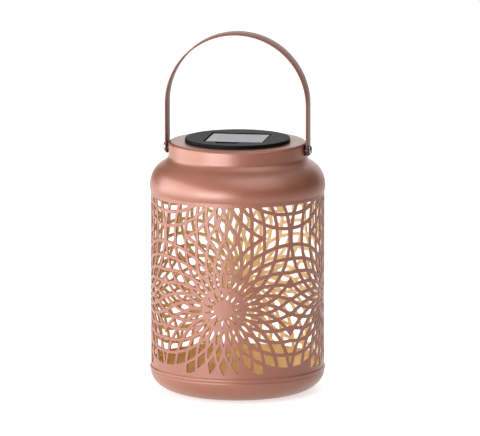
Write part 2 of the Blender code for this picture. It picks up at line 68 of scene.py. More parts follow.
PANEL_LOW, PANEL_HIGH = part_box("panel_backing")
HOUSING_LOW, HOUSING_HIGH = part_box("lower_housing")
STRAP_LOW, STRAP_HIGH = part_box("handle_strap")
PIVOT_Z = frame["joints"][0]["pos_m"][2]

# ---------- sizes of the shapes themselves
SHEET = 0.9 * MM
ROUND_STEPS = 192  # facets around the body

COLLAR_RADIUS = 67.9 * MM  # collars inside the screen, top and bottom
COLLAR_DEPTH = 2.4 * MM
SEAM_LOW_Z, SEAM_HIGH_Z = 17.8 * MM, 21.0 * MM  # the rolled bead around the bottom
FOOT_RADIUS = 44.0 * MM

SHOULDER_Z = 165.8 * MM  # where the shoulder is widest
SHOULDER_REACH, SHOULDER_RISE = 16.4 * MM, 20.0 * MM
SHOULDER_ARC = 65.5  # degrees of its elliptic section
HOLLOW_RISE = 21.2 * MM
NECK_FOOT_RISE = 24.7 * MM
NECK_RADIUS = 55.0 * MM
RIM_EDGE = 2.2 * MM
MOUTH_RADIUS = 39.6 * MM

FLOWER_Z = 77.0 * MM  # height of the flowers' centres
TILE = 113.1 * MM  # side of the square that one flower fills
CIRCLES = 30  # equal circles through each flower's centre
CIRCLE = 111.5 * MM  # their diameter
BAR = 2.45 * MM  # width of the metal along them
HALF_PITCH = math.pi / CIRCLES  # half the angle between two circles
SLIT_START, SLIT_END = 8.1 * MM, 15.4 * MM  # the first ring's slits, from the centre
SLIT_HALF_WIDTH, SLIT_TAPER = 1.05 * MM, 1.6
SECOND_START, SECOND_WIDEST = 18.1 * MM, 21.8 * MM  # the second ring's blunt end, and belly
SECOND_HALF, SECOND_SPREAD = math.radians(2.15), 0.65  # half its blunt end's angle, and flare
LAST_RING = 9  # outermost ring that reaches into the square
HOLES_LOW_Z = 24.4 * MM  # the pattern is cut off straight here, and
HOLES_HIGH_Z = 158.8 * MM  # here
DRIFT_AROUND, DRIFT_UP = -2.5 * MM, 2.5 * MM  # the sheet is rolled a little askew
DRIFT_FROM, DRIFT_TO = 60 * MM, 140 * MM
SEAM_AT = -111.0 * MM  # the sheet's seam, around from the front flower
SEAM_BAND = 4.5 * MM  # plain metal on each side of the seam
SMALLEST_CELL = 3.6 * MM * MM  # least area of a hole
SMALLEST_SHARE = 0.6  # of it that must lie above the low line
HOLE_CORNER = 0.55 * MM  # rounding of the holes' corners
SCREEN_SHEET = 0.8 * MM
CUT_EDGE = 0.14 * MM  # softened outer edge of each hole
BURR = 0.15 * MM  # how far the metal leans into a hole inside
TUCK = 0.6 * MM  # how far the sheet runs into its two seams

STRAP_SHEET = 1.2 * MM
STRAP_RADIUS = STRAP_HIGH.x  # outside of the handle's arch
STRAP_HALF_WIDTH = STRAP_HIGH.y
ARCH_Z = STRAP_HIGH.z - STRAP_RADIUS  # where the straight legs end
END_CENTRE_Z = STRAP_LOW.z + STRAP_HALF_WIDTH
STRAP_EDGE = 0.35 * MM  # rounding of the strap's edges

PLUG_RADIUS = 38.0 * MM  # the lid's skirt and the housing under it
KEPT_NODES = {"battery": "sleeve", "battery_tray": "black", "battery_plus_contact": "steel",
              "battery_spring": "steel", "circuit_board": "board", "led_lamp": "lamp",
              "led_collar": "black", "switch_body": "steel", "panel_lead_red": "red",
              "panel_lead_black": "dark", "battery_door": "black", "switch_knob": "black"}

CAMERA_AZIMUTH, CAMERA_ELEVATION = 9.3, 9.8  # degrees
CAMERA_DISTANCE = 6.0
CAMERA_LENS = 563.9
AIM = Vector((0.0, 0.0, 139.0 * MM))
AIM_RIGHT = 1.9 * MM
LIT_POINT = Vector((0, 0, 120.0 * MM))  # where the softboxes face


# ---------- materials
def set_sockets(node, **sockets):
    """Set a node's constants; underscores stand for the spaces in the sockets' names."""
    for name, value in sockets.items():
        node.inputs[name.replace("_", " ")].default_value = value


class Nodes:
    """A node tree with short calls to add nodes and links."""

    def __init__(self, tree):
        self.tree = tree

    def add(self, kind, **sockets):
        node = self.tree.nodes.new(kind)
        set_sockets(node, **sockets)
        return node

    def link(self, value, socket):
        """Link an output to a socket, or set the socket to a number or a colour."""
        if isinstance(value, bpy.types.NodeSocket):
            self.tree.links.new(value, socket)
        elif isinstance(value, tuple):
            socket.default_value = (*value, 1.0)
        else:
            socket.default_value = value

    def axes(self, kind):
        """The X, Y and Z outputs of that kind of texture coordinates."""
        parts = self.add("ShaderNodeSeparateXYZ")
        self.link(self.add("ShaderNodeTexCoord").outputs[kind], parts.inputs["Vector"])
        return parts.outputs

    def noise(self, coordinates, scale, detail=2.0):
        node = self.add("ShaderNodeTexNoise", Scale=scale, Detail=detail)
        self.link(coordinates, node.inputs["Vector"])
        return node.outputs["Fac"]

    def span(self, value, low, high, start=0.0, end=1.0, curve="LINEAR"):
        """Map start to end onto low to high."""
        node = self.add("ShaderNodeMapRange", From_Min=start, From_Max=end, To_Min=low,
                        To_Max=high)
        node.interpolation_type = curve
        self.link(value, node.inputs["Value"])
        return node.outputs["Result"]

    def mix(self, factor, low, high):
        """Blend two colours by a factor output."""
        node = self.add("ShaderNodeMix")
        node.data_type = "RGBA"
        for value, number in ((factor, 0), (low, 6), (high, 7)):
            self.link(value, node.inputs[number])
        return node.outputs[2]

    def maths(self, operation, *values):
        node = self.add("ShaderNodeMath")
        node.operation = operation
        for value, socket in zip(values, node.inputs):
            self.link(value, socket)
        return node.outputs[0]

    def weighed(self, first, first_share, second, second_share):
        """The sum of two outputs, each times its share."""
        return self.maths("ADD", self.maths("MULTIPLY", first, first_share),
                          self.maths("MULTIPLY", second, second_share))


def start_material(name, **sockets):
    """A material with one Principled shader, its constants set on the sockets."""
    made = bpy.data.materials.new(name)
    made.use_nodes = True
    nodes = Nodes(made.node_tree)
    shader = made.node_tree.nodes["Principled BSDF"]
    set_sockets(shader, **sockets)
    return made, nodes, shader, nodes.add("ShaderNodeTexCoord").outputs["Object"]


def surface(nodes, shader, colour, roughness, height=None, depth=0.0):
    """Link a colour and a roughness to the shader, and a height as bumps of that depth."""
    nodes.link(colour, shader.inputs["Base Color"])
    nodes.link(roughness, shader.inputs["Roughness"])
    if height is not None:
        bumps = nodes.add("ShaderNodeBump", Strength=1.0, Distance=depth)
        nodes.link(height, bumps.inputs["Height"])
        nodes.link(bumps.outputs["Normal"], shader.inputs["Normal"])


def paint(name, deep, light, metallic, roughness, coat, specular=0.5, coat_ior=1.5):
    """Sprayed metallic paint: drifting tone, fine flakes and a faint orange peel."""
    made, nodes, shader, place = start_material(
        name, Metallic=metallic, Coat_Weight=coat, Coat_Roughness=0.34, Coat_IOR=coat_ior,
        Specular_IOR_Level=specular)
    drift = nodes.noise(place, scale=38.0, detail=3.0)
    flakes = nodes.noise(place, scale=5200.0, detail=1.0)
    grain = nodes.noise(place, scale=900.0)
    peel = nodes.noise(place, scale=420.0)
    tone = nodes.weighed(drift, 0.62, flakes, 0.38)
    surface(nodes, shader, nodes.mix(tone, deep, light),
            nodes.span(grain, roughness - 0.05, roughness + 0.05),
            nodes.weighed(peel, 1.0, flakes, 0.12), 0.05 * MM)
    return made


def plastic(name, deep, light, roughness, grain_height=0.02 * MM, **sockets):
    """Moulded plastic with a fine spark-eroded grain."""
    made, nodes, shader, place = start_material(name, **sockets)
    drift = nodes.noise(place, scale=60.0, detail=3.0)
    grain = nodes.noise(place, scale=1600.0)
    surface(nodes, shader, nodes.mix(drift, deep, light),
            nodes.span(grain, roughness - 0.06, roughness + 0.06), grain, grain_height)
    return made


def steel(name, roughness=0.22):
    """Plated steel with fine turning marks and a slightly uneven sheen."""
    made, nodes, shader, place = start_material(name, Metallic=1.0)
    stretch = nodes.add("ShaderNodeMapping", Scale=(0.15, 1.0, 1.0))
    nodes.link(place, stretch.inputs["Vector"])
    marks = nodes.noise(stretch.outputs["Vector"], scale=2600.0)
    sheen = nodes.noise(place, scale=220.0)
    surface(nodes, shader, nodes.mix(sheen, (0.34, 0.33, 0.33), (0.50, 0.49, 0.48)),
            nodes.span(marks, roughness - 0.07, roughness + 0.10), marks, 0.01 * MM)
    return made


def silicon():
    """Dark cells in four strips with silver fingers and bars, under clear resin."""
    made, nodes, shader, place = start_material(
        "solar_cell_look", Coat_Weight=0.33, Coat_Roughness=0.06, Specular_IOR_Level=0.20)
    axes = nodes.axes("Object")
    crystal = nodes.noise(place, scale=120.0, detail=1.0)

    def lines(axis, pitch, width, shift=0.0):
        """1 on lines of that width, repeated every pitch."""
        moved = nodes.maths("ADD", axes[axis], 10 * pitch + shift)
        return nodes.maths("LESS_THAN", nodes.maths("MODULO", moved, pitch), width)

    fingers = lines("X", 1.6 * MM, 0.16 * MM)
    bars = lines("Y", 5.2 * MM, 0.55 * MM, 2.6 * MM)
    gaps = lines("Y", 10.4 * MM, 0.45 * MM, 0.22 * MM)
    colour = nodes.mix(crystal, (0.066, 0.068, 0.092), (0.078, 0.081, 0.108))
    colour = nodes.mix(nodes.maths("MAXIMUM", fingers, bars), colour, (0.115, 0.116, 0.140))
    colour = nodes.mix(gaps, colour, (0.040, 0.041, 0.052))
    surface(nodes, shader, colour, nodes.span(crystal, 0.26, 0.32))
    return made


def circuit():
    """Green solder mask with pale tracks."""
    made, nodes, shader, place = start_material("board_look", Coat_Weight=0.4)
    cells = nodes.add("ShaderNodeTexVoronoi", Scale=420.0)
    cells.feature = "DISTANCE_TO_EDGE"
    nodes.link(place, cells.inputs["Vector"])
    tracks = nodes.maths("LESS_THAN", cells.outputs["Distance"], 0.06)
    surface(nodes, shader, nodes.mix(tracks, (0.010, 0.120, 0.045), (0.030, 0.240, 0.090)),
            nodes.span(nodes.noise(place, scale=900.0), 0.35, 0.5), tracks, 0.03 * MM)
    return made


def make_materials():
    """Every look by its short name; colours are linear, from the deep tone to the light one."""
    made = {
        "paint": paint("rose_bronze_look", (0.290, 0.114, 0.070), (0.342, 0.144, 0.093),
                       0.15, 0.55, 1.00, coat_ior=1.80),
        # the handle has the body's paint; these colours are that paint darkened, a painted shade
        # for the handle's shaded legs and arch
        "handle": paint("handle_shaded_paint_look", (0.222, 0.092, 0.062), (0.272, 0.120, 0.084),
                        0.10, 0.50, 0.45, 0.30),
        "gold": paint("inner_gold_look", (0.900, 0.710, 0.460), (0.950, 0.790, 0.540),
                      0.10, 0.60, 0.0),
        "steel": steel("plated_steel_look"),
        "black": plastic("black_plastic_look", (0.010, 0.010, 0.011), (0.018, 0.018, 0.020),
                         0.46, Specular_IOR_Level=0.22),
        "cell": silicon(),
        "board": circuit(),
        "lamp": plastic("lamp_look", (0.80, 0.80, 0.76), (0.90, 0.90, 0.86), 0.10,
                        0.005 * MM, Transmission_Weight=0.85, IOR=1.5),
    }
    for key, name, deep, light, roughness in (
            ("rubber", "seal_look", (0.020, 0.020, 0.020), (0.035, 0.035, 0.036), 0.75),
            ("panel", "panel_backing_look", (0.006, 0.006, 0.008), (0.012, 0.012, 0.015), 0.30),
            ("sleeve", "battery_look", (0.030, 0.180, 0.070), (0.050, 0.260, 0.110), 0.35),
            ("red", "red_lead_look", (0.36, 0.012, 0.012), (0.50, 0.024, 0.020), 0.5),
            ("dark", "black_lead_look", (0.012, 0.012, 0.012), (0.026, 0.026, 0.026), 0.5)):
        made[key] = plastic(name, deep, light, roughness)
    return made


LOOKS = make_materials()


# ---------- mesh helpers
def new_mesh(name, bm):
    """A mesh with what the bmesh holds."""
    mesh = bpy.data.meshes.new(name)
    bm.to_mesh(mesh)
    bm.free()
    return mesh


def new_object(name, data):
    made = bpy.data.objects.new(name, data)
    bpy.context.scene.collection.objects.link(made)
    return made


def shade(mesh, sharp):
    """Smooth shading, apart from edges sharper than that many degrees."""
    mesh.shade_smooth()
    mesh.set_sharp_from_angle(angle=math.radians(sharp))


def finish_mesh(name, bm, looks, body, replaces=(), sharp=40.0):
    """Turn a bmesh into a smooth-shaded piece that rides on a CAD body."""
    bmesh.ops.recalc_face_normals(bm, faces=bm.faces)
    mesh = new_mesh(name, bm)
    shade(mesh, sharp)
    for look in looks:
        mesh.materials.append(LOOKS[look])
    piece = new_object(name, mesh)
    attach(piece, body)
    if replaces:
        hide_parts(*replaces)
    return piece


def spread(low, high, steps):
    """Evenly spaced values from low to high, both ends included."""
    return [low + (high - low) * i / steps for i in range(steps + 1)]


def around(radius, angle, height):
    return Vector((radius * math.cos(angle), radius * math.sin(angle), height))


def curve_points(start, control, end, steps):
    """Points of a quadratic curve from start to end, both ends included."""
    points = []
    for t in spread(0, 1, steps):
        points.append(tuple((1 - t) ** 2 * a + 2 * t * (1 - t) * b + t * t * c
                            for a, b, c in zip(start, control, end)))
    return points


def soften(corners, steps=4):
    """Round an open outline of (radius, height, rounding) corners."""
    points = []
    for i, (r, z, rounding) in enumerate(corners):
        if not rounding:
            points.append((r, z))
            continue
        here = Vector((r, z))
        ends = []
        for near in (corners[i - 1], corners[i + 1]):
            step = Vector(near[:2]) - here
            ends.append(here + step.normalized() * min(rounding, 0.48 * step.length))
        points += curve_points(ends[0], here, ends[1], steps)
    return points


def ellipse_arc(centre, radii, start, end, steps):
    """Points of an elliptic arc in (radius, height), degrees from the radial axis."""
    angles = [math.radians(degrees) for degrees in spread(start, end, steps)]
    return [(centre[0] + radii[0] * math.cos(angle), centre[1] + radii[1] * math.sin(angle))
            for angle in angles]


def turned(outline, steps=ROUND_STEPS, matrix=Matrix.Identity(4)):
    """Spin an outline of (radius, height) points about Z into a closed bmesh.

    An outline that starts and ends on the axis closes there; any other is a closed loop.
    """
    bm = bmesh.new()
    rings = []
    for radius, height in outline:
        if radius < 1e-7:
            rings.append([bm.verts.new(matrix @ Vector((0, 0, height)))] * steps)
            continue
        rings.append([bm.verts.new(matrix @ around(radius, 2 * math.pi * i / steps, height))
                      for i in range(steps)])
    pairs = list(zip(rings, rings[1:]))
    if outline[0][0] > 1e-7:
        pairs.append((rings[-1], rings[0]))
    for low, high in pairs:
        for i in range(steps):
            j = (i + 1) % steps
            corners = list(dict.fromkeys((low[i], low[j], high[j], high[i])))
            if len(corners) > 2:
                bm.faces.new(corners)
    return bm


def along_x(side):
    """Turns a piece made along Z so that it points outwards along X at the handle's pivot."""
    return Matrix.Translation((0, 0, PIVOT_Z)) @ Matrix.Rotation(side * math.pi / 2, 4, "Y")


def skin(bm, rings):
    """Faces between neighbouring rings of vertices, and a cap on the first and the last."""
    for low, high in zip(rings, rings[1:]):
        for i in range(len(low)):
            j = (i + 1) % len(low)
            bm.faces.new((low[i], low[j], high[j], high[i]))
    bm.faces.new(rings[0])
    bm.faces.new(rings[-1])


def rounded_rectangle(half_x, half_y, corner, reach, steps):
    """Points around a rectangle; each corner turns about its centre with the radius reach."""
    points = []
    for quarter, (sx, sy) in enumerate(((1, 1), (-1, 1), (-1, -1), (1, -1))):
        for i in range(steps + 1):
            angle = math.pi / 2 * (quarter + i / steps)
            points.append((sx * (half_x - corner) + reach * math.cos(angle),
                           sy * (half_y - corner) + reach * math.sin(angle)))
    return points


def rounded_plate(size_x, size_y, low, high, corner, edge, centre=(0.0, 0.0)):
    """A flat plate with rounded corners and softened top and bottom edges, as a bmesh."""
    bm = bmesh.new()
    rings = []
    for height, inset in ((low, edge), (low + edge, 0.0), (high - edge, 0.0), (high, edge)):
        outline = rounded_rectangle(size_x / 2, size_y / 2, corner, corner - inset, 6)
        rings.append([bm.verts.new((centre[0] + x, centre[1] + y, height)) for x, y in outline])
    skin(bm, rings)
    return bm


def filled_box(name, corner, edge):
    """A rounded plate that fills a CAD node's box, as a bmesh."""
    low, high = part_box(name)
    return rounded_plate(high.x - low.x, high.y - low.y, low.z, high.z, corner, edge)


def box_middle(name):
    """Where the middle of a CAD node's box is, seen from above."""
    low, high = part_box(name)
    return (low.x + high.x) / 2, (low.y + high.y) / 2


def peg(place, z, radius, length):
    """An upright cylinder with its middle at that height, as a bmesh."""
    bm = bmesh.new()
    bmesh.ops.create_cone(bm, cap_ends=True, segments=32, radius1=radius, radius2=radius,
                          depth=length, matrix=Matrix.Translation((*place, z)))
    return bm


def carve(piece, cutters, operation="DIFFERENCE"):
    """Cut bmeshes out of a piece, or join them on, and keep the result as its mesh."""
    tools = []
    for bm in cutters:
        bmesh.ops.recalc_face_normals(bm, faces=bm.faces)
        tool = new_object("tool", new_mesh("tool", bm))
        modifier = piece.modifiers.new("carve", "BOOLEAN")
        modifier.operation = operation
        modifier.object = tool
        modifier.solver = "EXACT"
        tools.append(tool)
    bake(piece)
    for tool in tools:
        bpy.data.objects.remove(tool, do_unlink=True)


def bake(piece):
    """Replace a piece's mesh by what its modifiers make of it."""
    bpy.context.view_layer.update()
    graph = bpy.context.evaluated_depsgraph_get()
    mesh = bpy.data.meshes.new_from_object(piece.evaluated_get(graph))
    piece.modifiers.clear()
    piece.data = mesh


def bevel(piece, width, sharp=40.0):
    """Add a modifier that rounds a piece's sharp edges."""
    modifier = piece.modifiers.new("edges", "BEVEL")
    modifier.width = width
    modifier.segments = 2
    modifier.limit_method = "ANGLE"
    modifier.angle_limit = math.radians(sharp)


def soft_edges(piece, width, sharp=40.0):
    """Round a piece's sharp edges and shade its flat faces evenly."""
    bevel(piece, width, sharp)
    bake(piece)
    shade(piece.data, sharp)
    weights = piece.modifiers.new("normals", "WEIGHTED_NORMAL")
    weights.keep_sharp = True
    weights.weight = 100
    bake(piece)


# ---------- base and shoulder
def paint_inside(bm, outline, first):
    """Give a turned piece's faces from one outline point onwards the inner colour."""
    bm.faces.ensure_lookup_table()
    for face in bm.faces[first * ROUND_STEPS:(len(outline) - 1) * ROUND_STEPS]:
        face.material_index = 1


def base_cap():
    """Pressed bottom with a rolled bead and a shallow groove under it."""
    side = BODY_RADIUS - 0.5 * MM
    inner = side - SHEET
    middle = (SEAM_LOW_Z + SEAM_HIGH_Z) / 2
    bead = 0.9 * MM
    outline = [(0.0, 0.0)]
    outline += ellipse_arc((FOOT_RADIUS, SEAM_LOW_Z - 0.5 * MM),
                           (side - FOOT_RADIUS, SEAM_LOW_Z - 0.5 * MM), -90, 0, 28)
    outline += [(side - 0.12 * MM, SEAM_LOW_Z - 0.1 * MM)]
    outline += ellipse_arc((BODY_RADIUS - bead, SEAM_LOW_Z + 0.8 * MM), (bead, 0.8 * MM), -70, 0, 5)
    outline += [(BODY_RADIUS, middle)]
    outline += ellipse_arc((BODY_RADIUS - bead, SEAM_HIGH_Z - 0.7 * MM), (bead, 0.7 * MM), 0, 90, 5)
    outline += [(COLLAR_RADIUS, SEAM_HIGH_Z), (COLLAR_RADIUS, BASE_TOP_Z),
                (COLLAR_RADIUS - SHEET, BASE_TOP_Z), (COLLAR_RADIUS - SHEET, SEAM_HIGH_Z - MM)]
    outline += ellipse_arc((FOOT_RADIUS, SEAM_LOW_Z), (inner - FOOT_RADIUS, SEAM_LOW_Z - SHEET),
                           0, -90, 24)
    outline.append((0.0, SHEET))
    bm = turned(outline)
    paint_inside(bm, outline, outline.index((COLLAR_RADIUS, BASE_TOP_Z)))
    finish_mesh("pressed_base", bm, ("paint", "gold"), "lantern_body",
                ("base_cap",))


def shoulder_wall(inset, steps):
    """The shoulder and neck in section, upwards, moved inwards by inset."""
    centre = (BODY_RADIUS - SHOULDER_REACH, SHOULDER_Z)
    radii = (SHOULDER_REACH - inset, SHOULDER_RISE - inset)
    side = ellipse_arc(centre, radii, 0, SHOULDER_ARC, steps)
    foot = (NECK_RADIUS - inset, SHOULDER_Z + NECK_FOOT_RISE)
    control = (foot[0], SHOULDER_Z + HOLLOW_RISE)
    return side + curve_points(side[-1], control, foot, 10)[1:]


def shoulder():
    """Spun shoulder with its hollow neck, flat rim and a lower edge rolled over the screen."""
    lip_z = COLLAR_LOW_Z + COLLAR_DEPTH
    roll = 0.9 * MM
    outline = [(COLLAR_RADIUS, COLLAR_LOW_Z), (COLLAR_RADIUS, lip_z + 0.1 * MM)]
    outline += ellipse_arc((BODY_RADIUS - 0.35 * MM - roll, lip_z + roll), (roll, roll), -80, -8, 6)
    outline += [(BODY_RADIUS - 0.08 * MM, lip_z + 2.4 * MM)]
    outline += shoulder_wall(0.0, 28)
    outline += ellipse_arc((NECK_RADIUS - RIM_EDGE, RIM_Z - RIM_EDGE), (RIM_EDGE, RIM_EDGE),
                           0, 90, 8)
    hem, skirt_z = 0.8 * MM, RIM_Z - 4.0 * MM
    outline += ellipse_arc((MOUTH_RADIUS + hem, RIM_Z - hem), (hem, hem), 90, 180, 5)
    outline += [(MOUTH_RADIUS, skirt_z), (MOUTH_RADIUS + SHEET, skirt_z),
                (MOUTH_RADIUS + SHEET, RIM_Z - SHEET - 0.3 * MM)]
    inner_edge = RIM_EDGE - SHEET
    outline += ellipse_arc((NECK_RADIUS - RIM_EDGE, RIM_Z - RIM_EDGE), (inner_edge, inner_edge),
                           90, 0, 5)
    outline += list(reversed(shoulder_wall(SHEET, 20)))
    outline += [(COLLAR_RADIUS - SHEET, lip_z + 1.2 * MM), (COLLAR_RADIUS - SHEET, COLLAR_LOW_Z)]
    bm = turned(outline)
    paint_inside(bm, outline, outline.index((MOUTH_RADIUS + SHEET, skirt_z)))
    finish_mesh("spun_shoulder", bm, ("paint", "gold"), "lantern_body",
                ("shoulder",))


# ---------- pierced screen
def circle_angle(radius):
    """Angle from a circle's tangent at the flower's centre to its point at that radius."""
    return math.asin(min(radius / CIRCLE, 1.0))


def bar_angle(radius):
    """Half a bar's width as an angle at that radius."""
    return BAR / 2 * CIRCLE / (radius * math.sqrt(CIRCLE ** 2 - radius ** 2))


def cell_half_angle(ring, radius):
    """Half the angle that a hole of that ring spans at a radius; negative where it is closed."""
    return HALF_PITCH - abs(circle_angle(radius) - ring * HALF_PITCH) - bar_angle(radius)


def solve_radius(test, low, high):
    """The radius between low and high where test changes sign, by halving."""
    rising = test(high) > 0
    for _ in range(40):
        middle = (low + high) / 2
        if (test(middle) > 0) == rising:
            high = middle
        else:
            low = middle
    return (low + high) / 2


def polar_point(radius, angle):
    return Vector((radius * math.cos(angle), radius * math.sin(angle)))


def ring_cell(ring, middle):
    """The four sides of a hole between circles, as lists of points around it."""
    widest = CIRCLE * math.sin(ring * HALF_PITCH)
    before, after = (CIRCLE * math.sin((ring + step) * HALF_PITCH) for step in (-1, 1))
    tip_in = solve_radius(lambda r: cell_half_angle(ring, r), before, widest)
    tip_out = solve_radius(lambda r: cell_half_angle(ring, r), after, widest)
    inner, outer = spread(tip_in, widest, 6), spread(widest, tip_out, 6)

    def edge(radii, sign):
        return [polar_point(r, middle + sign * max(cell_half_angle(ring, r), 0.0)) for r in radii]

    return [edge(inner, 1), edge(outer, 1), edge(outer[::-1], -1), edge(inner[::-1], -1)]


def second_ring_cell(middle):
    """A hole of the second ring: pointed outwards, blunt towards the centre."""
    def between_bars(radius):
        return 3 * HALF_PITCH - circle_angle(radius) - bar_angle(radius)

    def half_at(radius):
        if radius > SECOND_WIDEST:
            return max(min(between_bars(radius), half_at(SECOND_WIDEST)), 0.0)
        share = (radius - SECOND_START) / (SECOND_WIDEST - SECOND_START)
        return SECOND_HALF + (between_bars(SECOND_WIDEST) - SECOND_HALF) * share * SECOND_SPREAD

    def edge(radii, sign):
        return [polar_point(r, middle + sign * half_at(r)) for r in radii]

    tip = solve_radius(between_bars, CIRCLE * math.sin(3 * HALF_PITCH), SECOND_WIDEST)
    inner, outer = spread(SECOND_START, SECOND_WIDEST, 3), spread(SECOND_WIDEST, tip, 6)
    right_in, left_in = edge(inner, 1), edge(inner[::-1], -1)
    return [right_in, edge(outer, 1), edge(outer[::-1], -1), left_in, [left_in[-1], right_in[0]]]


def slit_cell(middle):
    """A slit of the first ring: a drop, wide at the centre's side."""
    right, left = [], []
    for share in spread(0, 1, 8):
        radius = SLIT_START + (SLIT_END - SLIT_START) * share
        half = SLIT_HALF_WIDTH * (1 - share ** SLIT_TAPER)
        right.append(polar_point(radius, middle + half / radius))
        left.append(polar_point(radius, middle - half / radius))
    return [right, left[::-1], [left[0], right[0]]]


def flower_cells():
    """Every hole of one flower, around its own centre, before it is cut to its square."""
    pitch = 2 * math.pi / CIRCLES
    cells = [slit_cell(2 * i * pitch) for i in range(CIRCLES // 2)]
    cells += [second_ring_cell((i + 0.5) * pitch) for i in range(CIRCLES)]
    for ring in range(3, LAST_RING + 1):
        turn = 0.5 if ring % 2 == 0 else 0.0
        cells += [ring_cell(ring, (i + turn) * pitch) for i in range(CIRCLES)]
    return cells


def clip_sides(sides, axis, limit, sign, new_kind):
    """Cut a hole, given as (kind, points) sides, by a line; the cut edge becomes a new side."""
    kept, gap, exit_point, entry = [], None, None, None
    for kind, points in sides:
        run = []
        for a, b in zip(points, points[1:]):
            a_in, b_in = (sign * (p[axis] - limit) <= 1e-9 for p in (a, b))
            if a_in and not run:
                run = [a]
            if a_in and b_in:
                run.append(b)
            elif a_in != b_in:
                crossing = a.lerp(b, (limit - a[axis]) / (b[axis] - a[axis]))
                crossing[axis] = limit
                if a_in:
                    kept.append((kind, run + [crossing]))
                    gap, exit_point, run = len(kept), crossing, []
                    kept.append(None)
                    continue
                run = [crossing, b]
                if gap is None:
                    entry = crossing
                else:
                    kept[gap] = (new_kind, [exit_point, crossing])
                    gap = None
        if len(run) > 1:
            kept.append((kind, run))
    if gap is not None:
        kept[gap] = (new_kind, [exit_point, entry])
    return kept


def outline_area(sides):
    ring = [p for _, points in sides for p in points[:-1]]
    return abs(sum(a.x * b.y - b.x * a.y for a, b in zip(ring, ring[1:] + ring[:1]))) / 2


def trim(points, distance):
    """A line of points without the first and last stretch of that length."""
    for _ in range(2):
        left = distance
        points = list(points)
        while len(points) > 2 and (points[1] - points[0]).length <= left:
            left -= (points[1] - points[0]).length
            points.pop(0)
        points[0] = points[0].lerp(points[1], min(left / (points[1] - points[0]).length, 0.9))
        points.reverse()
    return points


def side_pieces(sides, rounding):
    """Each side of a hole without its corners, None for a side on a mirror line."""
    pieces = []
    for i, (kind, points) in enumerate(sides):
        if kind == "mirror":
            pieces.append(None)
            continue
        length = sum((b - a).length for a, b in zip(points, points[1:]))
        cut = min(rounding, 0.35 * length)
        trimmed = trim(points, cut)
        if sides[i - 1][0] == "mirror":
            trimmed = [points[0]] + [p for p in points[1:-1] if p not in trimmed[:1]
                                     and (p - points[0]).length < cut] + trimmed[1:]
        if sides[(i + 1) % len(sides)][0] == "mirror":
            trimmed = trimmed[:-1] + [points[-1]]
        pieces.append(trimmed)
    return pieces


def rounded_outline(sides, rounding):
    """Closed and open runs of a hole's edge: corners between cut sides are rounded.

    Sides of kind "mirror" are left out, and the corners that touch them stay as they are.
    """
    def bend(before, corner, after):
        return [Vector(p) for p in curve_points(before, corner, after, 3)[1:-1]]

    pieces = side_pieces(sides, rounding)
    closed = None not in pieces
    first = 0 if closed else pieces.index(None)
    runs, run = [], []
    for j in range(len(sides)):
        i = (first + j) % len(sides)
        if pieces[i] is None:
            if run:
                runs.append((run, False))
            run = []
            continue
        if run:
            run += bend(run[-1], sides[i][1][0], pieces[i][0])
        run += pieces[i]
    if closed:
        run += bend(run[-1], sides[0][1][0], run[0])
    if run:
        runs.append((run, closed))
    return runs


def drift(point):
    """The small offset of the pattern on the far side of the screen."""
    share = min(max((point.x - DRIFT_FROM) / (DRIFT_TO - DRIFT_FROM), 0.0), 1.0)
    share = share * share * (3 - 2 * share)
    return Vector((point.x + DRIFT_AROUND * share, point.y + DRIFT_UP * share))


def placed_cell(sides, column, flip):
    """A hole moved to its square, mirrored in the upper row, and cut off at the height limits."""
    centre_z = FLOWER_Z if flip == 1 else FLOWER_Z + TILE
    placed = [(kind, [drift(Vector((p.x + column * TILE, flip * p.y + centre_z)))
                      for p in points]) for kind, points in sides]
    if flip == -1:
        placed = [(kind, points[::-1]) for kind, points in reversed(placed)]
        return clip_sides(placed, 1, HOLES_HIGH_Z, 1, "metal")
    whole = outline_area(placed)
    placed = clip_sides(placed, 1, HOLES_LOW_Z, -1, "metal")
    if placed and outline_area(placed) < SMALLEST_SHARE * whole:
        return []
    return placed


def screen_outlines():
    """The holes' edges on the whole unrolled screen: (points, closed) runs of (around, height)."""
    first, last = SEAM_AT + SEAM_BAND, SEAM_AT + 2 * math.pi * SCREEN_RADIUS - SEAM_BAND
    runs = []
    for cell in flower_cells():
        sides = [("metal", [p.copy() for p in side]) for side in cell]
        for axis in (0, 1):
            for sign in (1, -1):
                sides = clip_sides(sides, axis, sign * TILE / 2, sign, "mirror")
        if not sides or outline_area(sides) < SMALLEST_CELL:
            continue
        for column in range(-1, 4):
            for flip in (1, -1):
                placed = placed_cell(sides, column, flip)
                placed = clip_sides(placed, 0, last, 1, "metal")
                placed = clip_sides(placed, 0, first, -1, "metal")
                if placed and outline_area(placed) > SMALLEST_CELL:
                    runs += rounded_outline(placed, HOLE_CORNER)
    return runs


